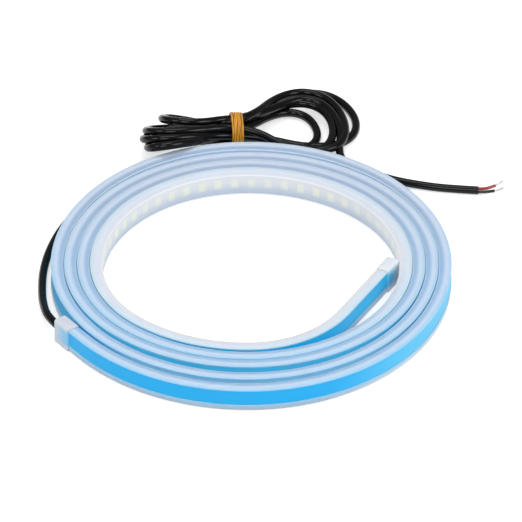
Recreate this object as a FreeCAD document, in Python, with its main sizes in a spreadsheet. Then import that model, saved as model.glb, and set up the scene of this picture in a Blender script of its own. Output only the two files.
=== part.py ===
"""Coiled LED strip: a silicone channel wound into a flat spiral, with end caps and a tied cable.

All lengths are millimetres. +Z is up, the strip stands on its edge, and the camera side is -Y.
The origin is the middle of the coil's footprint, on the surface that the end caps rest on.
"""
import FreeCAD
import Part
import Sketcher
import math
import os

Vector = FreeCAD.Vector
UP = Vector(0, 0, 1)

SIZES = {
    # Section of the silicone channel
    "strip_height": 9.6,
    "strip_thickness": 4.6,
    "upper_lip": 0.9,
    "lower_lip": 2.4,
    "lip_stand": 0.5,
    "crown_width": 2.0,
    "shoulder_drop": 0.5,
    # Layers in the channel, from its mouth inwards
    "liner_thickness": 0.1,
    "tape_thickness": 0.4,
    "board_thickness": 0.25,
    "solder_film": 0.05,
    "chip_thickness": 0.7,
    "chip_gap": 0.1,
    "layer_side_gap": 0.1,
    "tape_setback": 2.5,
    "board_tail": 2.0,
    # Chips and resistors along the board
    "chip_pitch": 6.94,
    "chip_length": 2.8,
    "chip_height": 3.5,
    "resistor_length": 2.0,
    "resistor_height": 1.25,
    "resistor_thickness": 0.5,
    # Spiral, measured to the channel's outer face
    "coil_radius": 77.1,
    "turn_gap": 0.34,
    "outer_turn_slack": 1.5,
    "front_slack": 2.5,
    "back_slack": 1.5,
    "first_turn_slack": 0.9,
    "last_turn_slack": 0.25,
    "inner_bend_share": 0.82,
    "inner_bend_angle": 60.0,
    "cap_rest_gap": 0.3,
    "outer_bend_ease": 1.9,
    "outer_bend_angle": 52.0,
    "outer_run": 14.8,
    # End caps
    "cap_wall": 0.45,
    "cap_fit": 0.05,
    "cap_length": 8.5,
    "cap_grip": 4.5,
    "cap_end_wall": 1.5,
    "cap_round": 0.7,
    # Cable
    "cable_diameter": 3.2,
    "cable_fit": 0.05,
    "cable_first_run": 8.0,
    "core_diameter": 1.2,
    "core_spread": 0.75,
    "lead_length": 2.0,
    "solder_radius": 0.8,
    "strand_diameter": 0.8,
    "strand_length": 2.6,
    # Hank and its tie
    "hank_waist_diameter": 12.0,
    "hank_waist_length": 9.0,
    "hank_left_reach": 34.0,
    "hank_right_reach": 44.0,
    "hank_left_width": 26.0,
    "hank_right_width": 36.0,
    "tie_width": 4.6,
    "tie_thickness": 0.7,
}

# Whole turns of the spiral, and how many of the inner ones are wound loosely
FULL_TURNS = 4
LOOSE_TURNS = 3
CHIPS_PER_RESISTOR = 3

# Directions in which the spiral's stations lie, in the order in which it passes them
STATION_SIDES = (Vector(0, -1, 0), Vector(-1, 0, 0), Vector(0, 1, 0), Vector(1, 0, 0))

# Stations of the hank's lobes: share of the reach, shift along Y, share of the width, half height
LEFT_LOBE = ((0.35, -1.0, 0.73, 6.4), (0.75, -2.0, 1.0, 6.4), (1.0, -1.0, 0.72, 5.2))
RIGHT_LOBE = ((0.3, 4.0, 0.62, 5.4), (0.7, 8.5, 1.0, 4.6), (1.0, 10.0, 0.6, 3.7))
FLOOR_GAP = 0.1
LOBE_SIDES = 14

# Middle of the tie, and the cable's route on both sides of the hank.
# Each place is an angle about the coil's middle, a distance outside the coil's radius and a height.
TIE_PLACE = (92.58, 11.03, 6.7)
LEAD_IN_ROUTE = (
    (193.35, 2.4, 4.0),
    (185.0, 1.2, 2.8),
    (175.5, 0.8, 1.9),
    (165.75, 0.65, 1.7),
    (155.25, 0.85, 1.7),
    (144.6, 0.9, 1.7),
    (134.0, 1.1, 1.7),
    (123.9, 1.75, 1.7),
    (114.2, 2.75, 2.0),
    (105.5, 4.5, 3.0),
)
TAIL_ROUTE = (
    (76.3, 12.6, 3.0),
    (68.45, 10.7, 2.0),
    (59.8, 7.9, 1.7),
    (50.9, 6.5, 1.7),
    (43.05, 10.1, 1.7),
    (36.9, 17.6, 1.7),
    (32.3, 27.3, 1.7),
)
RED_ROUTE = (
    (33.1, 26.45, 2.0),
    (32.15, 29.0, 1.9),
    (31.8, 31.7, 1.7),
    (31.95, 34.45, 1.4),
)
BLACK_ROUTE = (
    (32.5, 25.7, 1.4),
    (31.45, 28.1, 1.3),
    (30.65, 30.1, 1.1),
    (30.3, 32.25, 0.9),
)
# Share of the shorter run that an arc of a cable's route takes up
ARC_SHARE = 0.45

doc = FreeCAD.newDocument("led_strip")
sheet = doc.addObject("Spreadsheet::Sheet", "sizes")
for row, (alias, value) in enumerate(SIZES.items(), start=1):
    sheet.set("A%d" % row, alias)
    sheet.set("B%d" % row, str(value))
    sheet.setAlias("B%d" % row, alias)
doc.recompute()


def size(alias):
    """A driving dimension as the sheet holds it."""
    return float(sheet.get(alias))


def cells(*aliases):
    """The sum of some of the sheet's cells, as an expression."""
    return " + ".join("sizes." + alias for alias in aliases)


# Heights and depths that several pieces share, as expressions
CAP_SKIN = cells("cap_wall", "cap_fit")
STRIP_TOP = cells("cap_wall", "cap_fit", "strip_height")
CHANNEL_FLOOR = cells("cap_wall", "cap_fit", "lower_lip")
CHANNEL_ROOF = STRIP_TOP + " - sizes.upper_lip"
LINER_FACE = cells("lip_stand")
TAPE_FACE = cells("lip_stand", "liner_thickness")
BOARD_FACE = cells("lip_stand", "liner_thickness", "tape_thickness")
CHIP_SEAT = cells("lip_stand", "liner_thickness", "tape_thickness", "board_thickness")
CHANNEL_DEPTH = CHIP_SEAT + " + " + cells("solder_film", "chip_thickness", "chip_gap")

finished = []


def add_node(label, item):
    """Name a finished piece and keep it for writing."""
    item.Label = label
    finished.append(item)
    return item


def flat(angle):
    """The level unit vector at an angle in degrees."""
    return Vector(math.cos(math.radians(angle)), math.sin(math.radians(angle)), 0)


def right_of(direction):
    """The level direction to the right of a direction of travel."""
    return Vector(direction.y, -direction.x, 0)


# The spiral

def turn_pitch():
    return size("strip_thickness") + size("turn_gap")


def station_radius(quarter):
    """Reach of the outer face at a quarter turn, counted from the first front station."""
    last_right = 4 * FULL_TURNS - 1
    reach = size("coil_radius") - (last_right - quarter) * turn_pitch() / 4
    turn, side = divmod(quarter, 4)
    if side == 0 and turn < FULL_TURNS:
        reach -= size("outer_turn_slack")
    if side == 0 and turn < LOOSE_TURNS:
        reach -= size("front_slack")
    if side == 2 and turn < LOOSE_TURNS:
        reach -= size("back_slack")
    if quarter == 0:
        reach -= size("first_turn_slack")
    if quarter == 4 * FULL_TURNS:
        reach += size("last_turn_slack")
    return reach


def coil_centre():
    """Where the spiral's middle lies, so that the coil's box is centred on the origin."""
    last = 4 * FULL_TURNS
    across = station_radius(last - 1) - station_radius(last - 3)
    along = station_radius(last) - station_radius(last - 2)
    return Vector(-across / 2, along / 2, 0)


def beside_coil(place):
    """A place round the coil, from its angle, its distance outside the coil and its height."""
    angle, distance, height = place
    return coil_centre() + flat(angle) * (size("coil_radius") + distance) + UP * height


def arc_between(start, direction, end):
    """The arc that leaves start along direction and ends at end."""
    chord = end - start
    normal = right_of(direction)
    radius = chord.dot(chord) / (2 * chord.dot(normal))
    centre = start + normal * radius
    outward = (start - centre) + (end - centre)
    middle = centre + outward.normalize() * radius
    return Part.Arc(start, middle, end).toShape()


def arc_pair(start, start_direction, end, end_direction):
    """Two tangent arcs that join two stations."""
    chord = end - start
    leading = 2 * (1 - start_direction.dot(end_direction))
    middle_term = 2 * chord.dot(start_direction + end_direction)
    root = math.sqrt(middle_term ** 2 + 4 * leading * chord.dot(chord))
    reach = (root - middle_term) / (2 * leading)
    joint = (start + start_direction * reach + end - end_direction * reach) * 0.5
    second_start = joint - (start + start_direction * reach)
    first = arc_between(start, start_direction, joint)
    second = arc_between(joint, second_start.normalize(), end)
    return [first, second]


def inner_run():
    """Start of the straight inner end, its direction of travel and its length to the cap's end."""
    bend = math.radians(size("inner_bend_angle"))
    radius = size("inner_bend_share") * station_radius(0)
    first_front = coil_centre() + STATION_SIDES[0] * station_radius(0)
    bend_end = first_front + Vector(radius * math.sin(bend), radius * (1 - math.cos(bend)), 0)
    wall = coil_centre().x + station_radius(3) - size("strip_thickness") - size("cap_rest_gap")
    cap_corner = bend_end.x + (size("cap_wall") + size("cap_fit")) * math.sin(bend)
    length = (wall - cap_corner) / math.cos(bend)
    return bend_end, flat(size("inner_bend_angle")) * -1, length


def outer_run():
    """Start of the straight outer end, its direction of travel and its length to the cap's end."""
    bend = math.radians(size("outer_bend_angle"))
    radius = station_radius(4 * FULL_TURNS) + size("outer_bend_ease")
    last_front = coil_centre() + STATION_SIDES[0] * station_radius(4 * FULL_TURNS)
    bend_end = last_front + Vector(-radius * math.sin(bend), radius * (1 - math.cos(bend)), 0)
    return bend_end, flat(180 - size("outer_bend_angle")), size("outer_run")


def cap_reach():
    """How far a cap stands past the end of the strip."""
    return size("cap_length") - size("cap_grip")


def strip_end(run, travel_sign, trim):
    """A point of a straight end, set back from the end of the strip by trim."""
    start, direction, length = run
    return start + direction * (travel_sign * (length - cap_reach() - trim))


def spiral_edges(start_trim, end_trim):
    """The strip's path from its inner to its outer end, along the outer face at floor level."""
    run_start, run_direction, _ = inner_run()
    first_point = strip_end(inner_run(), -1, start_trim)
    edges = [Part.LineSegment(first_point, run_start).toShape()]
    here = run_start
    heading = run_direction
    for quarter in range(4 * FULL_TURNS + 1):
        side = STATION_SIDES[quarter % 4]
        station = coil_centre() + side * station_radius(quarter)
        station_heading = right_of(side)
        if quarter == 0:
            edges.append(arc_between(here, heading, station))
        else:
            edges.extend(arc_pair(here, heading, station, station_heading))
        here = station
        heading = station_heading
    last_start, _, _ = outer_run()
    edges.append(arc_between(here, heading, last_start))
    last_point = strip_end(outer_run(), 1, end_trim)
    edges.append(Part.LineSegment(last_start, last_point).toShape())
    return edges


def path_places(edges, first, pitch, end_gap):
    """Evenly spaced points and directions along a path."""
    places = []
    length = sum(edge.Length for edge in edges)
    wanted = first
    passed = 0.0
    for edge in edges:
        while wanted < passed + edge.Length and wanted < length - end_gap:
            parameter = edge.getParameterByLength(wanted - passed)
            places.append((edge.valueAt(parameter), edge.tangentAt(parameter)))
            wanted += pitch
        passed += edge.Length
    return places


# Pieces that follow the spiral

def origin_plane(body, role):
    for feature in body.Origin.OriginFeatures:
        if feature.Role == role:
            return feature
    raise ValueError(role)


def draw_outline(sketch, prefix, corners):
    """Add a closed outline whose corners are pairs of expressions from the sketch's origin."""
    count = len(corners)
    first_line = sketch.GeometryCount
    places = []
    for across, along in corners:
        places.append(Vector(sheet.evalExpression(across), sheet.evalExpression(along), 0))
    for index in range(count):
        line = Part.LineSegment(places[index], places[(index + 1) % count])
        sketch.addGeometry(line, False)
    for index in range(count):
        line = first_line + index
        following = first_line + (index + 1) % count
        sketch.addConstraint(Sketcher.Constraint("Coincident", line, 2, following, 1))
    for index, (across, along) in enumerate(corners):
        line = first_line + index
        for letter, kind, expression in (("u", "DistanceX", across), ("v", "DistanceY", along)):
            distance = places[index].x if letter == "u" else places[index].y
            if abs(distance) < 1e-9:
                axis = -2 if letter == "u" else -1
                sketch.addConstraint(Sketcher.Constraint("PointOnObject", line, 1, axis))
                continue
            name = "%s_%s%d" % (prefix, letter, index)
            number = sketch.addConstraint(Sketcher.Constraint(kind, -1, 1, line, 1, distance))
            sketch.renameConstraint(number, name)
            sketch.setExpression("Constraints." + name, expression)


def section_place(edges):
    """Frame of a section at a path's start: x inwards, y up."""
    start = edges[0].valueAt(edges[0].FirstParameter)
    inwards = right_of(edges[0].tangentAt(edges[0].FirstParameter))
    return FreeCAD.Placement(start, FreeCAD.Rotation(inwards, UP, inwards.cross(UP), "XYZ"))


def follow_spiral(label, corners, start_trim, end_trim):
    """A body whose section is drawn along the spiral."""
    edges = spiral_edges(start_trim, end_trim)
    path = doc.addObject("Part::Feature", label + "_path")
    path.Shape = Part.Wire(edges)
    body = doc.addObject("PartDesign::Body", label + "_body")
    sketch = body.newObject("Sketcher::SketchObject", label + "_section")
    sketch.AttachmentSupport = [(origin_plane(body, "XY_Plane"), "")]
    sketch.MapMode = "FlatFace"
    sketch.AttachmentOffset = section_place(edges)
    draw_outline(sketch, "corner", corners)
    binder = body.newObject("PartDesign::SubShapeBinder", label + "_spine")
    binder.Support = [(path, "")]
    doc.recompute()
    pipe = body.newObject("PartDesign::AdditivePipe", label + "_pipe")
    pipe.Profile = sketch
    pipe.Spine = (binder, ["Edge%d" % (index + 1) for index in range(len(edges))])
    pipe.Mode = "Standard"
    doc.recompute()
    return add_node(label, body)


def layer_corners(near, far):
    """Section of a flat layer between the channel's walls."""
    low = CHANNEL_FLOOR + " + sizes.layer_side_gap"
    high = CHANNEL_ROOF + " - sizes.layer_side_gap"
    return ((near, low), (near, high), (far, high), (far, low))


def make_sleeve():
    corners = (
        ("0", CAP_SKIN),
        ("0", CHANNEL_FLOOR),
        (CHANNEL_DEPTH, CHANNEL_FLOOR),
        (CHANNEL_DEPTH, CHANNEL_ROOF),
        ("0", CHANNEL_ROOF),
        ("0", STRIP_TOP),
        ("sizes.crown_width", STRIP_TOP),
        ("sizes.strip_thickness", STRIP_TOP + " - sizes.shoulder_drop"),
        ("sizes.strip_thickness", CAP_SKIN + " + sizes.shoulder_drop"),
        ("sizes.crown_width", CAP_SKIN),
    )
    follow_spiral("silicone_sleeve", corners, 0.0, 0.0)


def make_layers():
    setback = size("tape_setback")
    follow_spiral("tape_liner", layer_corners(LINER_FACE, TAPE_FACE), setback, setback)
    follow_spiral("adhesive_tape", layer_corners(TAPE_FACE, BOARD_FACE), setback, setback)
    follow_spiral("circuit_board", layer_corners(BOARD_FACE, CHIP_SEAT), 0.0, -size("board_tail"))


def channel_middle():
    """Height of the middle of the channel."""
    return (sheet.evalExpression(CHANNEL_FLOOR) + sheet.evalExpression(CHANNEL_ROOF)) / 2


def boxes_on_board(label, first, pitch, box_length, box_height, box_thickness):
    """A group of boxes soldered to the board's inner face."""
    solids = []
    seat = sheet.evalExpression(CHIP_SEAT) + size("solder_film")
    for point, travel in path_places(spiral_edges(0.0, 0.0), first, pitch, size("cap_grip")):
        inwards = right_of(travel)
        block = Part.makeBox(box_length, box_thickness, box_height)
        block.translate(Vector(-box_length / 2, 0, -box_height / 2))
        turn = FreeCAD.Rotation(inwards.cross(UP), inwards, UP, "XYZ")
        place = point + inwards * seat + UP * channel_middle()
        block.Placement = FreeCAD.Placement(place, turn).multiply(block.Placement)
        solids.append(block)
    group = doc.addObject("Part::Feature", label)
    group.Shape = Part.makeCompound(solids)
    add_node(label, group)


def make_components():
    pitch = size("chip_pitch")
    first = size("cap_grip") + size("chip_length")
    boxes_on_board("led_chips", first, pitch,
                   size("chip_length"), size("chip_height"), size("chip_thickness"))
    boxes_on_board("chip_resistors", first + pitch / 2, pitch * CHIPS_PER_RESISTOR,
                   size("resistor_length"), size("resistor_height"), size("resistor_thickness"))


# End caps and what the cable cap holds

def end_frame(run, travel_sign):
    """Frame at the strip's end: x against the direction of travel, y inwards, z up."""
    inwards = right_of(run[1])
    return FreeCAD.Placement(strip_end(run, travel_sign, 0.0),
                             FreeCAD.Rotation(inwards.cross(UP), inwards, UP, "XYZ"))


def cap_edges(shape, open_x):
    """Names of a block's edges apart from those round its open end."""
    names = []
    for index, edge in enumerate(shape.Edges, start=1):
        if any(abs(vertex.X - open_x) > 1e-6 for vertex in edge.Vertexes):
            names.append("Edge%d" % index)
    return names


def cap_sketch(body, name, prefix, corners):
    sketch = body.newObject("Sketcher::SketchObject", name)
    sketch.AttachmentSupport = [(origin_plane(body, "YZ_Plane"), "")]
    sketch.MapMode = "FlatFace"
    draw_outline(sketch, prefix, corners)
    return sketch


def make_cap(label, run, travel_sign, cable_hole):
    """A moulded cup over an end of the strip, drawn from its open end."""
    body = doc.addObject("PartDesign::Body", label + "_body")
    wide = cells("strip_thickness") + " + 2 * (" + CAP_SKIN + ")"
    tall = cells("strip_height") + " + 2 * (" + CAP_SKIN + ")"
    outline = (("0", "0"), ("0", tall), (wide, tall), (wide, "0"))
    block = body.newObject("PartDesign::Pad", label + "_block")
    block.Profile = cap_sketch(body, label + "_outline", "outline", outline)
    block.setExpression("Length", "sizes.cap_length")
    block.Reversed = travel_sign > 0
    doc.recompute()
    rounded = body.newObject("PartDesign::Fillet", label + "_rounded")
    rounded.Base = (block, cap_edges(block.Shape, 0.0))
    rounded.setExpression("Radius", "sizes.cap_round")
    doc.recompute()
    near, far = "sizes.cap_wall", wide + " - sizes.cap_wall"
    low, high = "sizes.cap_wall", tall + " - sizes.cap_wall"
    shoulder = "sizes.cap_wall + sizes.crown_width"
    drop = "sizes.shoulder_drop"
    cavity = (
        (near, low), (near, high), (shoulder, high), (far, high + " - " + drop),
        (far, low + " + " + drop), (shoulder, low),
    )
    hollow = body.newObject("PartDesign::Pocket", label + "_hollow")
    hollow.Profile = cap_sketch(body, label + "_cavity", "cavity", cavity)
    hollow.setExpression("Length", "sizes.cap_length - sizes.cap_end_wall")
    hollow.Reversed = travel_sign < 0
    doc.recompute()
    if cable_hole:
        drill_cable_hole(body, label)
    frame = end_frame(run, travel_sign)
    skin = sheet.evalExpression(CAP_SKIN)
    offset = FreeCAD.Placement(Vector(travel_sign * size("cap_grip"), -skin, 0), FreeCAD.Rotation())
    body.Placement = frame.multiply(offset)
    add_node(label, body)


def drill_cable_hole(body, label):
    sketch = body.newObject("Sketcher::SketchObject", label + "_hole_circle")
    sketch.AttachmentSupport = [(origin_plane(body, "YZ_Plane"), "")]
    sketch.MapMode = "FlatFace"
    across = CAP_SKIN + " + " + CHIP_SEAT + " + sizes.core_diameter / 2"
    up = "(" + CHANNEL_FLOOR + " + " + CHANNEL_ROOF + ") / 2"
    middle = Vector(sheet.evalExpression(across), sheet.evalExpression(up), 0)
    radius = "sizes.cable_diameter / 2 + sizes.cable_fit"
    sketch.addGeometry(Part.Circle(middle, UP, sheet.evalExpression(radius)), False)
    for name, kind, expression in (("across", "DistanceX", across), ("up", "DistanceY", up)):
        distance = sheet.evalExpression(expression)
        number = sketch.addConstraint(Sketcher.Constraint(kind, -1, 1, 0, 3, distance))
        sketch.renameConstraint(number, name)
        sketch.setExpression("Constraints." + name, expression)
    number = sketch.addConstraint(Sketcher.Constraint("Radius", 0, sheet.evalExpression(radius)))
    sketch.renameConstraint(number, "hole_radius")
    sketch.setExpression("Constraints.hole_radius", radius)
    hole = body.newObject("PartDesign::Pocket", label + "_hole")
    hole.Profile = sketch
    hole.setExpression("Length", "sizes.cap_length")
    doc.recompute()


def cable_start():
    """Where the sheath starts, on the inner face of the cable cap's end wall."""
    frame = end_frame(outer_run(), 1)
    inwards = sheet.evalExpression(CHIP_SEAT) + size("core_diameter") / 2
    reach = cap_reach() - size("cap_end_wall")
    return frame.multVec(Vector(-reach, inwards, channel_middle()))


def make_leads():
    """The two cores inside the cable cap, lying on the board's end, with their solder."""
    along_strip = outer_run()[1] * -1
    inwards = right_of(outer_run()[1])
    joints = []
    for label, sign in (("red_lead", 1), ("black_lead", -1)):
        lead = doc.addObject("Part::Cylinder", label)
        lead.setExpression("Radius", "sizes.core_diameter / 2")
        lead.setExpression("Height", "sizes.lead_length")
        base = cable_start() + UP * (sign * size("core_spread"))
        lead.Placement = FreeCAD.Placement(base, FreeCAD.Rotation(UP, along_strip))
        doc.recompute()
        add_node(label, lead)
        pad = base + along_strip * size("lead_length") - inwards * (size("core_diameter") / 2)
        blob = Part.makeSphere(size("solder_radius"), pad, inwards, 0, 90, 360)
        joints.append(blob.cut(lead.Shape))
    solder = doc.addObject("Part::Feature", "solder_joints")
    solder.Shape = Part.makeCompound([solid for joint in joints for solid in joint.Solids])
    add_node("solder_joints", solder)


# Cable

def route_edges(label, points):
    """Straight runs joined by tangent arcs as large as the runs allow."""
    edges = []
    radii = []
    here = points[0]
    for before, corner, after in zip(points, points[1:], points[2:]):
        incoming = corner - before
        outgoing = after - corner
        reach = ARC_SHARE * min(incoming.Length, outgoing.Length)
        turn = incoming.getAngle(outgoing)
        radii.append(reach / math.tan(turn / 2))
        incoming.normalize()
        outgoing.normalize()
        arc_start = corner - incoming * reach
        arc_end = corner + outgoing * reach
        towards_centre = (outgoing - incoming).normalize()
        dip = reach * math.tan(turn / 4)
        edges.append(Part.LineSegment(here, arc_start).toShape())
        edges.append(Part.Arc(arc_start, corner + towards_centre * dip, arc_end).toShape())
        here = arc_end
    edges.append(Part.LineSegment(here, points[-1]).toShape())
    print(label, "arc radii", ", ".join("%.1f" % radius for radius in radii))
    return edges


def make_tube(label, points, diameter_alias):
    """A round tube along a route."""
    edges = route_edges(label, points)
    for point in points:
        print(label, "passes %.2f %.2f %.2f" % tuple(point))
    path = doc.addObject("Part::Feature", label + "_path")
    path.Shape = Part.Wire(edges)
    section = doc.addObject("Part::Circle", label + "_section")
    section.setExpression("Radius", "sizes.%s / 2" % diameter_alias)
    section.Placement = FreeCAD.Placement(points[0], FreeCAD.Rotation(UP, points[1] - points[0]))
    tube = doc.addObject("Part::Sweep", label + "_tube")
    tube.Sections = [section]
    tube.Spine = (path, ["Edge%d" % (index + 1) for index in range(len(edges))])
    tube.Solid = True
    tube.Frenet = False
    doc.recompute()
    expected = math.pi * (size(diameter_alias) / 2) ** 2 * path.Shape.Length
    print(label, "length %.1f" % path.Shape.Length, "volume share %.4f" % (tube.Shape.Volume / expected))
    return tube


def cut_at(label, tube, neighbour):
    """A tube that ends against its neighbour's surface."""
    cut = doc.addObject("Part::Cut", label)
    cut.Base = tube
    cut.Tool = neighbour
    doc.recompute()
    return add_node(label, cut)


def oval_outline(centre, half_width, half_height):
    """An upright oval across X, drawn with straight sides."""
    corners = []
    for index in range(LOBE_SIDES + 1):
        angle = 2 * math.pi * index / LOBE_SIDES
        corners.append(centre + Vector(0, half_width * math.cos(angle), half_height * math.sin(angle)))
    return Part.makePolygon(corners)


def make_lobe(side, sign, reach, width, stations):
    """One lobe of the hank, from the round waist to its tip."""
    waist_end = size("hank_waist_length") / 2
    radius = size("hank_waist_diameter") / 2
    middle = beside_coil(TIE_PLACE)
    root = middle + Vector(sign * waist_end, 0, 0)
    sections = [oval_outline(root, radius, radius)]
    for reach_share, shift, width_share, half_height in stations:
        along = waist_end + reach_share * (reach - waist_end)
        centre = Vector(middle.x + sign * along, middle.y + shift, half_height + FLOOR_GAP)
        sections.append(oval_outline(centre, width_share * width / 2, half_height))
    lobe = doc.addObject("Part::Feature", "hank_%s_lobe" % side)
    lobe.Shape = Part.makeLoft(sections, True, True)
    return lobe


def make_hank():
    """The folded cable as one closed form: two flat lobes pinched at the tie."""
    waist = doc.addObject("Part::Cylinder", "hank_waist")
    waist.setExpression("Radius", "sizes.hank_waist_diameter / 2")
    waist.setExpression("Height", "sizes.hank_waist_length")
    waist_start = beside_coil(TIE_PLACE) - Vector(size("hank_waist_length") / 2, 0, 0)
    waist.Placement = FreeCAD.Placement(waist_start, FreeCAD.Rotation(UP, Vector(1, 0, 0)))
    left = make_lobe("left", -1, size("hank_left_reach"), size("hank_left_width"), LEFT_LOBE)
    right = make_lobe("right", 1, size("hank_right_reach"), size("hank_right_width"), RIGHT_LOBE)
    hank = doc.addObject("Part::MultiFuse", "hank_solid")
    hank.Shapes = [waist, left, right]
    doc.recompute()
    return add_node("cable_hank", hank)


def make_tie():
    """A wound band round the hank's waist."""
    half = size("tie_width") / 2
    band_start = beside_coil(TIE_PLACE) - Vector(half, 0, 0)
    place = FreeCAD.Placement(band_start, FreeCAD.Rotation(UP, Vector(1, 0, 0)))
    outside = doc.addObject("Part::Cylinder", "tie_outside")
    outside.setExpression("Radius", "sizes.hank_waist_diameter / 2 + sizes.tie_thickness")
    outside.setExpression("Height", "sizes.tie_width")
    outside.Placement = place
    inside = doc.addObject("Part::Cylinder", "tie_inside")
    inside.setExpression("Radius", "sizes.hank_waist_diameter / 2")
    inside.setExpression("Height", "sizes.tie_width")
    inside.Placement = place
    band = doc.addObject("Part::Cut", "tie_band")
    band.Base = outside
    band.Tool = inside
    doc.recompute()
    add_node("hank_tie", band)


def make_strands(label, points):
    """The tinned tip of a core, straight on from its end."""
    tip = doc.addObject("Part::Cylinder", label)
    tip.setExpression("Radius", "sizes.strand_diameter / 2")
    tip.setExpression("Height", "sizes.strand_length")
    tip.Placement = FreeCAD.Placement(points[-1], FreeCAD.Rotation(UP, points[-1] - points[-2]))
    doc.recompute()
    add_node(label, tip)


def make_cable():
    hank = make_hank()
    make_tie()
    first_corner = cable_start() + outer_run()[1] * size("cable_first_run")
    lead_in = [cable_start(), first_corner] + [beside_coil(place) for place in LEAD_IN_ROUTE]
    tail_points = [beside_coil(place) for place in TAIL_ROUTE]
    cut_at("cable_lead_in", make_tube("cable_lead_in", lead_in, "cable_diameter"), hank)
    tail = cut_at("cable_tail", make_tube("cable_tail", tail_points, "cable_diameter"), hank)
    for colour, route in (("red", RED_ROUTE), ("black", BLACK_ROUTE)):
        label = colour + "_core_end"
        points = [beside_coil(place) for place in route]
        cut_at(label, make_tube(label, points, "core_diameter"), tail)
        make_strands(colour + "_strands", points)


def write_parts():
    """Test every object, then write each finished piece."""
    for item in doc.Objects:
        if "Invalid" in item.State or "Error" in item.State:
            raise RuntimeError("failed: " + item.Name)
    for item in finished:
        if item.Shape.isNull() or not item.Shape.isValid():
            raise RuntimeError("no valid shape: " + item.Label)
    os.makedirs("parts", exist_ok=True)
    for item in finished:
        item.Shape.exportStep("parts/%s.step" % item.Label)
        box = item.Shape.BoundBox
        print("%-16s solids %3d volume %9.2f box %.2f %.2f %.2f to %.2f %.2f %.2f" % (
            item.Label, len(item.Shape.Solids), item.Shape.Volume,
            box.XMin, box.YMin, box.ZMin, box.XMax, box.YMax, box.ZMax))


make_sleeve()
make_layers()
make_components()
make_cap("plain_end_cap", inner_run(), -1, False)
make_cap("cable_end_cap", outer_run(), 1, True)
make_leads()
make_cable()
write_parts()
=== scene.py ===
"""Looks of the coiled LED strip: milky silicone channel, blue liner, chips, caps and tied cable.

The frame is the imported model's: metres, +Z up, the camera on the -Y side. The sizes named here are
in millimetres, unless a comment says otherwise.
"""
import bmesh
import bpy
import math
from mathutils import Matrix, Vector


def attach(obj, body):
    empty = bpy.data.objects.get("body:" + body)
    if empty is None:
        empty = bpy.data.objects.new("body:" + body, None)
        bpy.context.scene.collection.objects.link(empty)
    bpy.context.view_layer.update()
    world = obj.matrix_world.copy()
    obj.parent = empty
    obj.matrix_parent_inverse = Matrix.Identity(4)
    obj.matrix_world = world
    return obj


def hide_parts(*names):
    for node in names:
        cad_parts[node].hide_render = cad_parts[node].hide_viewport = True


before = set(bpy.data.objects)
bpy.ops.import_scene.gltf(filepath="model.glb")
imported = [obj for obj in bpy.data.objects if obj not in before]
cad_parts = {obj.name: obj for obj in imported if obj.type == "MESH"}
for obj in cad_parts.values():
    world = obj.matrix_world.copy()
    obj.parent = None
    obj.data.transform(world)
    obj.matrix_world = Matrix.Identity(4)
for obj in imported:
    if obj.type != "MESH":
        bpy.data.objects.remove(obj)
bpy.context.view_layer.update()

MM = 0.001
UP = Vector((0, 0, 1))

# Section of the channel, in millimetres from its outer face and from the floor
STRIP_BASE = 0.5
STRIP_HEIGHT = 9.6
STRIP_THICKNESS = 4.6
UPPER_LIP = 0.9
LOWER_LIP = 2.4
CHANNEL_DEPTH = 2.1
CROWN_WIDTH = 2.0
SHOULDER_DROP = 0.5
LIP_DROP = 0.12
SOFT_BULGE = 0.2
LINER_DEPTH = 0.2
LINER_THICKNESS = 0.1
CHIP_SEAT = 1.25
LAYER_SIDE_GAP = 0.1
CHANNEL_MIDDLE = STRIP_BASE + (LOWER_LIP + STRIP_HEIGHT - UPPER_LIP) / 2

# Rounding of the corners of the channel and the liner
FOOT_ROUND = 0.3
LIP_ROUND = 0.2
SEAT_ROUND = 0.15
CROWN_ROUND = 0.9
SHOULDER_ROUND = 0.3
HEEL_ROUND = 0.5
LINER_ROUND = 0.03
CORNER_STEPS = 4
LINER_CORNER_STEPS = 1
SHARP_ANGLE = 35.0

# Spiral of the channel's outer face, in millimetres
COIL_RADIUS = 77.1
TURN_GAP = 0.34
OUTER_TURN_SLACK = 1.5
FRONT_SLACK = 2.5
BACK_SLACK = 1.5
FIRST_TURN_SLACK = 0.9
LAST_TURN_SLACK = 0.25
FULL_TURNS = 4
LOOSE_TURNS = 3
INNER_BEND_SHARE = 0.82
INNER_BEND_ANGLE = 60.0
OUTER_BEND_EASE = 1.9
OUTER_BEND_ANGLE = 52.0
OUTER_RUN = 14.8
TAPE_SETBACK = 2.5
PATH_STEP = 2.0
# Directions of the quarter turns, from the front clockwise as seen from above
SIDES = (Vector((0, -1, 0)), Vector((-1, 0, 0)), Vector((0, 1, 0)), Vector((1, 0, 0)))

# End caps: skin, rest against the next turn, reach past the strip, grip on it, and rounding
CAP_SKIN = 0.5
CAP_REST_GAP = 0.3
CAP_REACH = 4.0
CAP_GRIP = 4.5
CAP_BOTTOM_OUTER_ROUND = 0.7
CAP_TOP_OUTER_ROUND = 0.9
CAP_TOP_INNER_ROUND = 1.5
CAP_BOTTOM_INNER_ROUND = 0.9
CAP_CORNER_STEPS = 5
CAP_LENGTH_STEPS = 4
CAP_EDGE_ROUND = 0.6
CAP_EDGE_SEGMENTS = 4
CAP_EDGE_ANGLE = 60

# Chips and resistors: length along the strip, height and thickness
CHIP_PITCH = 6.94
CHIP_SIZE = (2.8, 3.5, 0.7)
CHIP_STAND = 0.05
CHIPS_PER_RESISTOR = 3
RESISTOR_SIZE = (2.0, 1.25, 0.5)
# Bevel and depth of the window as shares of the thickness, and its frame as a share of the length
BLOCK_BEVEL = 0.08
WINDOW_SINK = 0.1
WINDOW_FRAME = 0.14


# The spiral, worked in millimetres

def flat(angle):
    """Level unit vector at an angle in degrees."""
    return Vector((math.cos(math.radians(angle)), math.sin(math.radians(angle)), 0))


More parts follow.
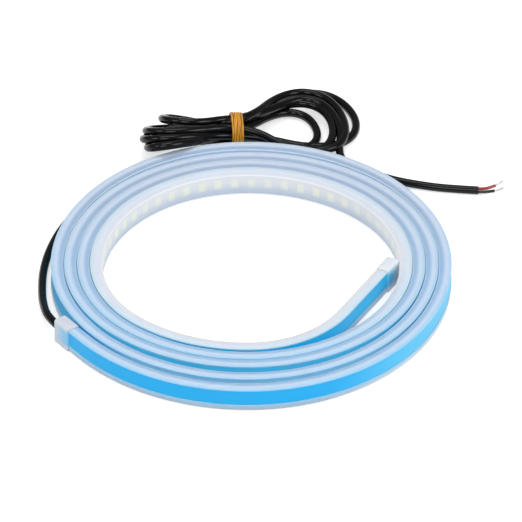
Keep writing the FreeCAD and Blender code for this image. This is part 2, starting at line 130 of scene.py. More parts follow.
def right_of(direction):
    """Level direction to the right of a direction of travel."""
    return Vector((direction.y, -direction.x, 0))


def station_radius(quarter):
    """Reach of the outer face at a quarter turn."""
    pitch = STRIP_THICKNESS + TURN_GAP
    reach = COIL_RADIUS - (4 * FULL_TURNS - 1 - quarter) * pitch / 4
    turn, side = divmod(quarter, 4)
    if side == 0 and turn < FULL_TURNS:
        reach -= OUTER_TURN_SLACK
    if side == 0 and turn < LOOSE_TURNS:
        reach -= FRONT_SLACK
    if side == 2 and turn < LOOSE_TURNS:
        reach -= BACK_SLACK
    if quarter == 0:
        reach -= FIRST_TURN_SLACK
    if quarter == 4 * FULL_TURNS:
        reach += LAST_TURN_SLACK
    return reach


def coil_centre():
    """Middle of the spiral in the frame of the coil's box."""
    last = 4 * FULL_TURNS
    across = station_radius(last - 1) - station_radius(last - 3)
    along = station_radius(last) - station_radius(last - 2)
    return Vector((-across / 2, along / 2, 0))


def line_points(start, end):
    """Points from start up to, but not at, end."""
    count = max(1, round((end - start).length / PATH_STEP))
    return [start.lerp(end, index / count) for index in range(count)]


def arc_points(start, heading, end):
    """Points of the arc that leaves start along heading, up to but not at end."""
    chord = end - start
    normal = right_of(heading)
    radius = chord.dot(chord) / (2 * chord.dot(normal))
    centre = start + normal * radius
    sweep = 2 * math.asin(min(1.0, chord.length / (2 * radius)))
    count = max(2, round(sweep * radius / PATH_STEP))
    points = []
    for index in range(count):
        turned = sweep * index / count
        back = normal * (radius * math.cos(turned))
        points.append(centre - back + heading * (radius * math.sin(turned)))
    return points


def arc_pair_points(start, start_heading, end, end_heading):
    """Points of two tangent arcs between two stations."""
    chord = end - start
    leading = 2 * (1 - start_heading.dot(end_heading))
    middle_term = 2 * chord.dot(start_heading + end_heading)
    root = math.sqrt(middle_term ** 2 + 4 * leading * chord.dot(chord))
    reach = (root - middle_term) / (2 * leading)
    first_corner = start + start_heading * reach
    joint = (first_corner + end - end_heading * reach) / 2
    joint_heading = (joint - first_corner).normalized()
    return arc_points(start, start_heading, joint) + arc_points(joint, joint_heading, end)


def inner_run():
    """Where the straight inner end meets the coil, its direction of travel and its length."""
    bend = math.radians(INNER_BEND_ANGLE)
    radius = INNER_BEND_SHARE * station_radius(0)
    first_front = coil_centre() + SIDES[0] * station_radius(0)
    start = first_front + Vector((radius * math.sin(bend), radius * (1 - math.cos(bend)), 0))
    wall = coil_centre().x + station_radius(3) - STRIP_THICKNESS - CAP_REST_GAP
    length = (wall - start.x - CAP_SKIN * math.sin(bend)) / math.cos(bend)
    return start, flat(INNER_BEND_ANGLE) * -1, length


def outer_run():
    """Where the straight outer end leaves the coil, its direction of travel and its length."""
    bend = math.radians(OUTER_BEND_ANGLE)
    radius = station_radius(4 * FULL_TURNS) + OUTER_BEND_EASE
    last_front = coil_centre() + SIDES[0] * station_radius(4 * FULL_TURNS)
    start = last_front + Vector((-radius * math.sin(bend), radius * (1 - math.cos(bend)), 0))
    return start, flat(180 - OUTER_BEND_ANGLE), OUTER_RUN


def spiral_points(start_trim, end_trim):
    """The outer face's line from the inner to the outer end, trimmed at both."""
    here, heading, run = inner_run()
    points = line_points(here - heading * (run - CAP_REACH - start_trim), here)
    for quarter in range(4 * FULL_TURNS + 1):
        side = SIDES[quarter % 4]
        station = coil_centre() + side * station_radius(quarter)
        if quarter == 0:
            points += arc_points(here, heading, station)
        else:
            points += arc_pair_points(here, heading, station, right_of(side))
        here = station
        heading = right_of(side)
    last, last_heading, run = outer_run()
    points += arc_points(here, heading, last)
    end = last + last_heading * (run - CAP_REACH - end_trim)
    return points + line_points(last, end) + [end]


# Materials

# Sockets of a Mix node that hold its two colours and their mix
MIX_FIRST = 6
MIX_SECOND = 7
MIX_RESULT = 2


def new_material(name):
    """A material, its node tree and its shader."""
    material = bpy.data.materials.new(name)
    material.use_nodes = True
    tree = material.node_tree
    return material, tree, tree.nodes["Principled BSDF"]


def noise_node(tree, scale, detail=3.0, stretch=None):
    """Noise in the object's own coordinates, in cycles per metre."""
    place = tree.nodes.new("ShaderNodeTexCoord")
    noise = tree.nodes.new("ShaderNodeTexNoise")
    noise.inputs["Scale"].default_value = scale
    noise.inputs["Detail"].default_value = detail
    if stretch is None:
        tree.links.new(place.outputs["Object"], noise.inputs["Vector"])
    else:
        mapping = tree.nodes.new("ShaderNodeMapping")
        mapping.inputs["Scale"].default_value = stretch
        tree.links.new(place.outputs["Object"], mapping.inputs["Vector"])
        tree.links.new(mapping.outputs["Vector"], noise.inputs["Vector"])
    return noise.outputs["Fac"]


def object_axes(tree):
    """The object's own X, Y and Z, in metres."""
    place = tree.nodes.new("ShaderNodeTexCoord")
    axes = tree.nodes.new("ShaderNodeSeparateXYZ")
    tree.links.new(place.outputs["Object"], axes.inputs["Vector"])
    return axes.outputs


def ramp_node(tree, source, low, high, start=0.3, end=0.7):
    """Two colours, chosen by a texture's value."""
    ramp = tree.nodes.new("ShaderNodeValToRGB")
    ramp.color_ramp.elements[0].position = start
    ramp.color_ramp.elements[0].color = (*low, 1)
    ramp.color_ramp.elements[1].position = end
    ramp.color_ramp.elements[1].color = (*high, 1)
    tree.links.new(source, ramp.inputs["Fac"])
    return ramp.outputs["Color"]


def range_node(tree, source, low, high):
    """A texture's value, moved into a range."""
    remap = tree.nodes.new("ShaderNodeMapRange")
    remap.inputs["To Min"].default_value = low
    remap.inputs["To Max"].default_value = high
    tree.links.new(source, remap.inputs["Value"])
    return remap.outputs["Result"]


def set_rough(tree, shader, source, low, high):
    """Uneven gloss from a texture's value."""
    tree.links.new(range_node(tree, source, low, high), shader.inputs["Roughness"])


def set_relief(tree, shader, source, distance, strength=1.0):
    """Fine relief from a texture's value; its distance is in metres."""
    bump = tree.nodes.new("ShaderNodeBump")
    bump.inputs["Distance"].default_value = distance
    bump.inputs["Strength"].default_value = strength
    tree.links.new(source, bump.inputs["Height"])
    tree.links.new(bump.outputs["Normal"], shader.inputs["Normal"])


def attribute_node(tree, name):
    """A value that the sweep has stored on the mesh, in metres."""
    node = tree.nodes.new("ShaderNodeAttribute")
    node.attribute_name = name
    return node.outputs["Fac"]


def swept_values(tree):
    """Distance along the path, depth behind the outer face and rise above the floor."""
    return [attribute_node(tree, name) for name in ("along", "depth", "rise")]


def math_node(tree, operation, first, second=None):
    """One sum on two values, each a socket or a number."""
    node = tree.nodes.new("ShaderNodeMath")
    node.operation = operation
    for socket, value in zip(node.inputs, (first, second)):
        if isinstance(value, (int, float)):
            socket.default_value = value
        elif value is not None:
            tree.links.new(value, socket)
    return node.outputs["Value"]


def step_node(tree, source, start, end):
    """A smooth step from 0 at start to 1 at end, both in millimetres."""
    remap = tree.nodes.new("ShaderNodeMapRange")
    remap.interpolation_type = "SMOOTHSTEP"
    rising = end > start
    remap.inputs["From Min"].default_value = min(start, end) * MM
    remap.inputs["From Max"].default_value = max(start, end) * MM
    remap.inputs["To Min"].default_value = 0.0 if rising else 1.0
    remap.inputs["To Max"].default_value = 1.0 if rising else 0.0
    tree.links.new(source, remap.inputs["Value"])
    return remap.outputs["Result"]


def mix_node(tree, factor, first, second):
    """A mix of two colours, each a socket or a tuple."""
    node = tree.nodes.new("ShaderNodeMix")
    node.data_type = "RGBA"
    tree.links.new(factor, node.inputs["Factor"])
    for number, value in ((MIX_FIRST, first), (MIX_SECOND, second)):
        if isinstance(value, tuple):
            node.inputs[number].default_value = (*value, 1)
        else:
            tree.links.new(value, node.inputs[number])
    return node.outputs[MIX_RESULT]


# Tints painted on the silicone, as linear red, green and blue: the upper edge of the turns that lie
# against others, in front and behind, then of the loose inner turn, then the inner face and the lower lip.
# The silicone is one milky colour; these tints are mostly painted light and shade: painted blue light from
# the liner beside a turn, a lit crest between shaded slopes, painted shade behind, low down and at the
# left, and painted light on the right
LIP_FRONT = (0.33, 0.61, 0.94)
CREST_FRONT = (0.57, 0.70, 0.92)
SLOPE_FRONT = (0.32, 0.54, 0.78)
LIP_BACK = (0.54, 0.66, 0.84)
CREST_BACK = (0.61, 0.70, 0.86)
SLOPE_BACK = (0.31, 0.42, 0.57)
LOOSE_LIP = (0.54, 0.74, 0.93)
LOOSE_CREST = (0.70, 0.78, 0.93)
LOOSE_SLOPE_LOW = (0.74, 0.76, 0.81)
LOOSE_SLOPE_HIGH = (0.80, 0.82, 0.86)
LOOSE_CREST_BACK = (0.68, 0.78, 0.96)
LOOSE_SLOPE_BACK = (0.67, 0.70, 0.76)
FACE_UPPER = (0.78, 0.81, 0.84)
FACE_PAINTED_SHADE = (0.52, 0.62, 0.74)
FACE_SPOT = (0.90, 0.93, 0.78)
FACE_PAINTED_BLUE_LIGHT = (0.56, 0.71, 0.90)
FOOT_LEFT_PAINTED_SHADE = (0.48, 0.54, 0.61)
FOOT_RIGHT_PAINTED_LIGHT = (0.74, 0.82, 0.89)
LIP_LINER_REFLECTION = (0.32, 0.64, 0.92)
SILICONE_CLOUD = (0.75, 0.83, 0.98)

# Where that painted light and shade, and the chip spots, go over into each other: by depth behind the
# outer face, by rise above the floor, along the strip from its inner end, across the coil, and round the
# middle of a chip
LIP_TO_CREST = (0.0, 1.7)
CREST_TO_SLOPE = (1.9, 3.6)
TOP_TO_FACE = (4.3, 4.6)
LIP_DEPTH_END = (1.6, 0.8)
LIP_RISE_END = (4.0, 3.2)
FOOT_TO_LIP = (0.6, 2.9)
FACE_FALL = (7.0, 1.2)
LOOSE_TO_STACKED = (350.0, 430.0)
FRONT_TO_BACK = (-30.0, 60.0)
LEFT_TO_RIGHT = (20.0, 60.0)
SPOT_HALF_LENGTH = (2.0, 0.9)
SPOT_HALF_HEIGHT = (2.7, 1.2)

# Noise of the silicone in cycles per metre, and what it does
STREAK_GRAIN = 420.0
STREAK_DETAIL = 4.0
PATCH_GRAIN = 60.0
PATCH_DETAIL = 1.0
SPOT_CLEARNESS = (0.1, 1.0)
CLOUD_SHARE = (0.0, 0.16)
SILICONE_ROUGH = (0.30, 0.46)
SILICONE_RELIEF = 0.00005
SOFT_STRENGTH = 0.3

# How light goes into silicone; the scale is in metres
SILICONE_IOR = 1.41
SCATTER_RADII = (0.9, 1.0, 1.1)
SCATTER_SCALE = 0.0012


def chip_spots(tree, along, rise):
    """Soft spots where the chips show through the wall, clearer in some patches than in others."""
    first = (CAP_GRIP + CHIP_SIZE[0]) * MM
    shifted = math_node(tree, "SUBTRACT", along, first - CHIP_PITCH * MM / 2)
    cell = math_node(tree, "MODULO", shifted, CHIP_PITCH * MM)
    off_centre = math_node(tree, "SUBTRACT", cell, CHIP_PITCH * MM / 2)
    beside = math_node(tree, "ABSOLUTE", off_centre)
    off_height = math_node(tree, "SUBTRACT", rise, CHANNEL_MIDDLE * MM)
    above = math_node(tree, "ABSOLUTE", off_height)
    in_length = step_node(tree, beside, *SPOT_HALF_LENGTH)
    in_height = step_node(tree, above, *SPOT_HALF_HEIGHT)
    spots = math_node(tree, "MULTIPLY", in_length, in_height)
    patches = noise_node(tree, PATCH_GRAIN, PATCH_DETAIL)
    clear = range_node(tree, patches, *SPOT_CLEARNESS)
    return math_node(tree, "MULTIPLY", spots, clear)


def soft_silicone(shader):
    """Light goes a little way into silicone before it comes back."""
    shader.inputs["IOR"].default_value = SILICONE_IOR
    shader.inputs["Subsurface Weight"].default_value = 1.0
    shader.inputs["Subsurface Radius"].default_value = SCATTER_RADII
    shader.inputs["Subsurface Scale"].default_value = SCATTER_SCALE


def top_painted_light(tree, depth, far_side, stacked, streaks):
    """The turns' upper edge in painted light and shade: a lit crest between the lip and a shaded slope,
    painted blue light from the liner beside each stacked turn, bluer in front and greyer behind, and paler
    on the loose inner turn, which has no liner beside it.
    """
    # Painted highlight on the crest and painted shade on the slope behind it, by depth
    crest = step_node(tree, depth, *LIP_TO_CREST)
    slope = step_node(tree, depth, *CREST_TO_SLOPE)
    front = mix_node(tree, crest, LIP_FRONT, CREST_FRONT)
    front = mix_node(tree, slope, front, SLOPE_FRONT)
    back = mix_node(tree, crest, LIP_BACK, CREST_BACK)
    back = mix_node(tree, slope, back, SLOPE_BACK)
    turns = mix_node(tree, far_side, front, back)
    white = mix_node(tree, streaks, LOOSE_SLOPE_LOW, LOOSE_SLOPE_HIGH)
    loose_front = mix_node(tree, crest, LOOSE_LIP, LOOSE_CREST)
    loose_front = mix_node(tree, slope, loose_front, white)
    loose_back = mix_node(tree, slope, LOOSE_CREST_BACK, LOOSE_SLOPE_BACK)
    loose = mix_node(tree, far_side, loose_front, loose_back)
    return mix_node(tree, stacked, loose, turns)


def face_painted_light(tree, along, rise, stacked):
    """The inner face: painted shade darkens it towards the floor, and on stacked turns it takes painted
    blue light from the liner beside it; only the loose inner turn shows its chips.
    """
    # Painted shade, darker towards the floor
    fall = step_node(tree, rise, *FACE_FALL)
    face = mix_node(tree, fall, FACE_UPPER, FACE_PAINTED_SHADE)
    face = mix_node(tree, chip_spots(tree, along, rise), face, FACE_SPOT)
    return mix_node(tree, stacked, face, FACE_PAINTED_BLUE_LIGHT)


def lip_painted_light(tree, rise, right_side):
    """The lower lip: painted shade on its foot, painted light on the right, and a painted blue reflection
    of the liner just below it.
    """
    # Painted shade on the foot at the left, painted light on it at the right
    foot = mix_node(tree, right_side, FOOT_LEFT_PAINTED_SHADE, FOOT_RIGHT_PAINTED_LIGHT)
    return mix_node(tree, step_node(tree, rise, *FOOT_TO_LIP), foot, LIP_LINER_REFLECTION)


def silicone_material():
    """Milky silicone: what lies in and beside the channel shows through it as soft tints, and most of
    these tints are painted light and shade.
    """
    material, tree, shader = new_material("milky_silicone_look")
    along, depth, rise = swept_values(tree)
    axes = object_axes(tree)
    streaks = noise_node(tree, STREAK_GRAIN, STREAK_DETAIL)
    far_side = step_node(tree, axes["Y"], *FRONT_TO_BACK)
    right_side = step_node(tree, axes["X"], *LEFT_TO_RIGHT)
    stacked = step_node(tree, along, *LOOSE_TO_STACKED)
    top = top_painted_light(tree, depth, far_side, stacked, streaks)
    face = face_painted_light(tree, along, rise, stacked)
    upper = mix_node(tree, step_node(tree, depth, *TOP_TO_FACE), top, face)
    low = step_node(tree, rise, *LIP_RISE_END)
    outer = step_node(tree, depth, *LIP_DEPTH_END)
    lower = math_node(tree, "MULTIPLY", low, outer)
    colour = mix_node(tree, lower, upper, lip_painted_light(tree, rise, right_side))
    cloud = range_node(tree, streaks, *CLOUD_SHARE)
    tree.links.new(mix_node(tree, cloud, colour, SILICONE_CLOUD), shader.inputs["Base Color"])
    set_rough(tree, shader, streaks, *SILICONE_ROUGH)
    set_relief(tree, shader, streaks, SILICONE_RELIEF, SOFT_STRENGTH)
    soft_silicone(shader)
    return material


# Where the liner glows through a cap: by depth, then by rise from below and from above
CAP_FACE_END = (0.4, -0.3)
CAP_GLOW_FOOT = (1.6, 3.6)
CAP_GLOW_TOP = (10.0, 8.4)
CAP_GRAIN = 600.0
CAP_ROUGH = (0.22, 0.38)
CAP_RELIEF = 0.00004
# Looks of the caps: name, closed and open end along the cap, glow, darker and lighter body
PLAIN_CAP_LOOK = ("plain_cap_look", (1.0, 7.0), (0.10, 0.60, 0.98), (0.70, 0.76, 0.83), (0.82, 0.86, 0.90))
CABLE_CAP_LOOK = ("cable_cap_look", (8.5, 1.0), (0.24, 0.60, 0.90), (0.56, 0.62, 0.70), (0.72, 0.76, 0.82))


def cap_material(name, closed_to_open, glow, low, high):
    """Clearer moulded silicone: the liner inside glows through its outer face."""
    material, tree, shader = new_material(name)
    along, depth, rise = swept_values(tree)
    cloud = noise_node(tree, CAP_GRAIN)
    body = mix_node(tree, cloud, low, high)
    outer_face = step_node(tree, depth, *CAP_FACE_END)
    above = step_node(tree, rise, *CAP_GLOW_FOOT)
    below = step_node(tree, rise, *CAP_GLOW_TOP)
    band = math_node(tree, "MULTIPLY", above, below)
    window = math_node(tree, "MULTIPLY", outer_face, band)
    covered = step_node(tree, along, *closed_to_open)
    share = math_node(tree, "MULTIPLY", window, covered)
    tree.links.new(mix_node(tree, share, body, glow), shader.inputs["Base Color"])
    set_rough(tree, shader, cloud, *CAP_ROUGH)
    set_relief(tree, shader, cloud, CAP_RELIEF, SOFT_STRENGTH)
    soft_silicone(shader)
    return material


# Plain surfaces: name, darker and lighter tint, grain, roughness range, and relief in metres
PLAIN_LOOKS = (
    ("tape_foam_look", (0.7, 0.72, 0.74), (0.85, 0.86, 0.87), 3000.0, (0.7, 0.9), 0.00004),
    ("board_look", (0.82, 0.82, 0.78), (0.9, 0.9, 0.86), 400.0, (0.45, 0.6), 0.00001),
    ("resistor_look", (0.02, 0.02, 0.02), (0.05, 0.05, 0.05), 900.0, (0.3, 0.5), 0.00002),
    ("red_core_look", (0.34, 0.03, 0.03), (0.48, 0.06, 0.06), 900.0, (0.25, 0.4), 0.00001),
    ("black_core_look", (0.004, 0.004, 0.004), (0.009, 0.009, 0.009), 900.0, (0.25, 0.4), 0.00001),
)
TIN_LOOK = ("tin_look", (0.6, 0.6, 0.6), (0.8, 0.8, 0.8), 1800.0, (0.22, 0.45), 0.00003)
FINE_GRAIN = 7
FINE_DETAIL = 2.0
FINE_STRENGTH = 0.5


def plain_material(name, low, high, grain, rough, relief):
    """A moulded or coated surface with mottled colour, uneven gloss and fine relief."""
    material, tree, shader = new_material(name)
    mottle = noise_node(tree, grain)
    tree.links.new(ramp_node(tree, mottle, low, high), shader.inputs["Base Color"])
    fine = noise_node(tree, grain * FINE_GRAIN, FINE_DETAIL)
    set_rough(tree, shader, fine, *rough)
    set_relief(tree, shader, fine, relief, FINE_STRENGTH)
    return material


def tin_material():
    """Tinned copper: bright, uneven and slightly dulled."""
    material = plain_material(*TIN_LOOK)
    material.node_tree.nodes["Principled BSDF"].inputs["Metallic"].default_value = 1.0
    return material


# Painted light on the liner, which is one even blue, and where it goes over: across the coil, lighter on
# the right of the outermost turn as a painted reflection, and along the strip from its inner end, lighter
# on the free end, the inner turns and the deep turns as painted light that reaches them past their
# neighbours
LINER_FRONT_LOW = (0.012, 0.44, 0.91)
LINER_FRONT_HIGH = (0.018, 0.48, 0.95)
LINER_RIGHT_PAINTED_LIGHT = (0.11, 0.62, 1.0)
LINER_INNER_LOW = (0.07, 0.64, 1.0)
LINER_INNER_HIGH = (0.11, 0.70, 1.0)
LINER_DEEP_PAINTED_LIGHT = (0.32, 0.74, 1.0)
LINER_FREE_END_PAINTED_LIGHT = (0.02, 0.58, 1.0)
LINER_TO_RIGHT = (25.0, 65.0)
FREE_END_TO_INNER = (90.0, 170.0)
INNER_TO_DEEP = (1000.0, 1120.0)
DEEP_TO_OUTERMOST = (1335.0, 1370.0)
SHEEN_GRAIN = 60.0
LINER_ROUGH = (0.36, 0.5)
LINER_RELIEF = 0.00002
LINER_SPECULAR = 0.25


def liner_material():
    """Smooth release film with painted light: the free end and the inner turns are painted lighter for the
    light that reaches them through the channel beside them, and the outermost turn for a reflection on its
    right.
    """
    material, tree, shader = new_material("blue_liner_look")
    along = attribute_node(tree, "along")
    sheen = noise_node(tree, SHEEN_GRAIN)
    right_side = step_node(tree, object_axes(tree)["X"], *LINER_TO_RIGHT)
    past_free_end = step_node(tree, along, *FREE_END_TO_INNER)
    past_inner = step_node(tree, along, *INNER_TO_DEEP)
    outermost = step_node(tree, along, *DEEP_TO_OUTERMOST)
    front = mix_node(tree, sheen, LINER_FRONT_LOW, LINER_FRONT_HIGH)
    # Painted reflected light on the right of the outermost turn
    outer = mix_node(tree, right_side, front, LINER_RIGHT_PAINTED_LIGHT)
    inner = mix_node(tree, sheen, LINER_INNER_LOW, LINER_INNER_HIGH)
    deep = mix_node(tree, past_inner, inner, LINER_DEEP_PAINTED_LIGHT)
    from_free_end = mix_node(tree, past_free_end, LINER_FREE_END_PAINTED_LIGHT, deep)
    tree.links.new(mix_node(tree, outermost, from_free_end, outer), shader.inputs["Base Color"])
    set_rough(tree, shader, sheen, *LINER_ROUGH)
    set_relief(tree, shader, sheen, LINER_RELIEF)
    shader.inputs["Specular IOR Level"].default_value = LINER_SPECULAR
    return material


SHEATH_DARK = (0.0015, 0.0015, 0.002)
SHEATH_LIGHT = (0.004, 0.004, 0.0045)
WEAR_GRAIN = 45.0
SHEATH_ROUGH = (0.13, 0.18)
SHEATH_SPECULAR = 0.25


def sheath_material():
    """Smooth black vinyl with a long narrow shine."""
    material, tree, shader = new_material("sheath_look")
    wear = noise_node(tree, WEAR_GRAIN, FINE_DETAIL)
    tree.links.new(ramp_node(tree, wear, SHEATH_DARK, SHEATH_LIGHT), shader.inputs["Base Color"])
    set_rough(tree, shader, wear, *SHEATH_ROUGH)
    shader.inputs["Specular IOR Level"].default_value = SHEATH_SPECULAR
    return material


BAND_DARK = (0.30, 0.10, 0.004)
BAND_LIGHT = (0.80, 0.38, 0.03)
BAND_RAMP = (0.36, 0.56)
BAND_GRAIN = (1900.0, 120.0, 120.0)
BAND_ROUGH = (0.3, 0.5)
BAND_RELIEF = 0.00003


def band_material():
    """Golden elastic band with darker lines round it."""
    material, tree, shader = new_material("band_look")
    lines = noise_node(tree, 1.0, FINE_DETAIL, BAND_GRAIN)
    tree.links.new(ramp_node(tree, lines, BAND_DARK, BAND_LIGHT, *BAND_RAMP), shader.inputs["Base Color"])
    set_rough(tree, shader, lines, *BAND_ROUGH)
    set_relief(tree, shader, lines, BAND_RELIEF)
    return material


PHOSPHOR_DARK = (0.86, 0.8, 0.42)
PHOSPHOR_LIGHT = (0.95, 0.9, 0.55)
PHOSPHOR_GRAIN = 4000.0
PHOSPHOR_ROUGH = (0.3, 0.5)


def phosphor_material():
    """Chips with a mottled yellow phosphor."""
    material, tree, shader = new_material("led_phosphor_look")
    grain = noise_node(tree, PHOSPHOR_GRAIN, FINE_DETAIL)
    tree.links.new(ramp_node(tree, grain, PHOSPHOR_DARK, PHOSPHOR_LIGHT), shader.inputs["Base Color"])
    set_rough(tree, shader, grain, *PHOSPHOR_ROUGH)
    return material


def set_look(node, material):
    """Give a carried-over node its finished material."""
    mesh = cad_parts[node].data
    mesh.materials.clear()
    mesh.materials.append(material)


# Pieces made by Geometry Nodes

def add_object(name, data):
    """An object in the scene that shows a mesh, a curve, a lamp or a camera."""
    item = bpy.data.objects.new(name, data)
    bpy.context.scene.collection.objects.link(item)
    return item


def poly_curve(name, points, closed=False):
    """A curve object through points given in millimetres."""
    curve = bpy.data.curves.new(name, "CURVE")
    curve.dimensions = "3D"
    spline = curve.splines.new("POLY")
    spline.points.add(len(points) - 1)
    for target, point in zip(spline.points, points):
        target.co = (point[0] * MM, point[1] * MM, point[2] * MM, 1)
    spline.use_cyclic_u = closed
    return add_object(name, curve)


def tree_input(tree, name, kind):
    """A named input of a tree."""
    return tree.interface.new_socket(name=name, in_out="INPUT", socket_type=kind)


def new_tree(name, inputs):
    """An empty tree with named inputs and one geometry output."""
    tree = bpy.data.node_groups.new(name, "GeometryNodeTree")
    tree.interface.new_socket(name="Geometry", in_out="OUTPUT", socket_type="NodeSocketGeometry")
    sockets = {label: tree_input(tree, label, kind) for label, kind in inputs}
    entry = tree.nodes.new("NodeGroupInput")
    leave = tree.nodes.new("NodeGroupOutput")
    return tree, sockets, entry, leave


def object_geometry(tree, entry, label):
    """The geometry of the object that an input names."""
    info = tree.nodes.new("GeometryNodeObjectInfo")
    tree.links.new(entry.outputs[label], info.inputs["Object"])
    return info.outputs["Geometry"]


def finish_tree(tree, entry, leave, geometry):
    """Every tree ends in realized geometry with its material."""
    realize = tree.nodes.new("GeometryNodeRealizeInstances")
    paint = tree.nodes.new("GeometryNodeSetMaterial")
    tree.links.new(geometry, realize.inputs["Geometry"])
    tree.links.new(realize.outputs["Geometry"], paint.inputs["Geometry"])
    tree.links.new(entry.outputs["Material"], paint.inputs["Material"])
    tree.links.new(paint.outputs["Geometry"], leave.inputs["Geometry"])


def upright_path(tree, entry):
    """The path with its normals kept level, so that what follows it stays upright."""
    normals = tree.nodes.new("GeometryNodeSetCurveNormal")
    normals.mode = "Z_UP"
    tree.links.new(object_geometry(tree, entry, "Path"), normals.inputs["Curve"])
    return normals.outputs["Curve"]


def store_value(tree, geometry, name, value):
    """Keep a number on a curve's points, so that the swept mesh carries it."""
    store = tree.nodes.new("GeometryNodeStoreNamedAttribute")
    store.data_type = "FLOAT"
    store.domain = "POINT"
    store.inputs["Name"].default_value = name
    tree.links.new(geometry, store.inputs["Geometry"])
    tree.links.new(value, store.inputs["Value"])
    return store.outputs["Geometry"]


def marked_path(tree, entry):
    """The upright path with the distance from its start."""
    parameter = tree.nodes.new("GeometryNodeSplineParameter")
    return store_value(tree, upright_path(tree, entry), "along", parameter.outputs["Length"])


def marked_section(tree, entry):
    """The section with its depth behind the outer face and its rise above the floor."""
    position = tree.nodes.new("GeometryNodeInputPosition")
    parts = tree.nodes.new("ShaderNodeSeparateXYZ")
    upward = tree.nodes.new("ShaderNodeMath")
    upward.operation = "MULTIPLY"
    upward.inputs[1].default_value = -1.0
    tree.links.new(position.outputs["Position"], parts.inputs["Vector"])
    tree.links.new(parts.outputs["Y"], upward.inputs[0])
    section = object_geometry(tree, entry, "Section")
    section = store_value(tree, section, "depth", parts.outputs["X"])
    return store_value(tree, section, "rise", upward.outputs["Value"])


def sweep_tree():
    """A section drawn along a path."""
    inputs = (("Path", "NodeSocketObject"), ("Section", "NodeSocketObject"),
              ("Material", "NodeSocketMaterial"))
    tree, sockets, entry, leave = new_tree("swept_section", inputs)
    sweep = tree.nodes.new("GeometryNodeCurveToMesh")
    sweep.inputs["Fill Caps"].default_value = True
    tree.links.new(marked_path(tree, entry), sweep.inputs["Curve"])
    tree.links.new(marked_section(tree, entry), sweep.inputs["Profile Curve"])
    finish_tree(tree, entry, leave, sweep.outputs["Mesh"])
    return tree, sockets


def row_tree():
    """Copies of a piece, evenly spaced along a path."""
    inputs = (("Path", "NodeSocketObject"), ("Piece", "NodeSocketObject"), ("Count", "NodeSocketInt"),
              ("Material", "NodeSocketMaterial"))
    tree, sockets, entry, leave = new_tree("spaced_row", inputs)
    points = tree.nodes.new("GeometryNodeCurveToPoints")
    points.mode = "COUNT"
    tree.links.new(upright_path(tree, entry), points.inputs["Curve"])
    tree.links.new(entry.outputs["Count"], points.inputs["Count"])
    copies = tree.nodes.new("GeometryNodeInstanceOnPoints")
    tree.links.new(points.outputs["Points"], copies.inputs["Points"])
    tree.links.new(points.outputs["Rotation"], copies.inputs["Rotation"])
    tree.links.new(object_geometry(tree, entry, "Piece"), copies.inputs["Instance"])
    finish_tree(tree, entry, leave, copies.outputs["Instances"])
    return tree, sockets


def grow(name, tree_and_sockets, values):
    """Run a tree and keep its result as a plain mesh piece."""
    tree, sockets = tree_and_sockets
    seed = add_object(name + "_seed", bpy.data.meshes.new(name + "_seed"))
    modifier = seed.modifiers.new("grow", "NODES")
    modifier.node_group = tree
    for label, value in values.items():
        modifier[sockets[label].identifier] = value
    graph = bpy.context.evaluated_depsgraph_get()
    mesh = bpy.data.meshes.new_from_object(seed.evaluated_get(graph), depsgraph=graph)
    seed.modifiers.remove(modifier)
    bpy.data.objects.remove(seed)
    mesh.name = name
    for polygon in mesh.polygons:
        polygon.use_smooth = True
    mesh.set_sharp_from_angle(angle=math.radians(SHARP_ANGLE))
    return add_object(name, mesh)


def remove_guides(*guides):
    """Take away the objects that only a tree has read."""
    for guide in guides:
        bpy.data.objects.remove(guide)


def rounded_outline(corners, steps=CORNER_STEPS):
    """Corners (x, y, radius) joined into a closed outline with rounded corners."""
    points = []
    count = len(corners)
    for index, (x, y, radius) in enumerate(corners):
        corner = Vector((x, y))
        before = Vector(corners[index - 1][:2]) - corner
        after = Vector(corners[(index + 1) % count][:2]) - corner
        half = before.angle(after) / 2
        reach = radius / math.tan(half)
        before.normalize()
        after.normalize()
        start = corner + before * reach
        end = corner + after * reach
        middle = corner + (before + after).normalized() * (radius / math.sin(half))
        first = start - middle
        turn = first.angle_signed(end - middle)
        for step in range(steps + 1):
            angle = -turn * step / steps
            spoke = Vector((first.x * math.cos(angle) - first.y * math.sin(angle),
                            first.x * math.sin(angle) + first.y * math.cos(angle)))
            points.append((middle.x + spoke.x, middle.y + spoke.y, 0))
    return points


def hang_down(points):
    """Sections are drawn with their height along -Y, the way a level path carries them."""
    return [(x, -y, 0) for x, y, _ in points]


SWEEP = sweep_tree()
ROW = row_tree()


def swept_piece(name, path_points, outline, material):
    """An outline drawn along a path, as a mesh piece."""
    path = poly_curve(name + "_path", path_points)
    section = poly_curve(name + "_section", hang_down(outline), closed=True)
    piece = grow(name, SWEEP, {"Path": path, "Section": section, "Material": material})
    remove_guides(path, section)
    return piece


def keep(piece, slot, *nodes):
    """Hang a piece on the one body and hide the CAD nodes that it stands for."""
    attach(piece, "root")
    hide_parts(*nodes)
    return piece


# The strip

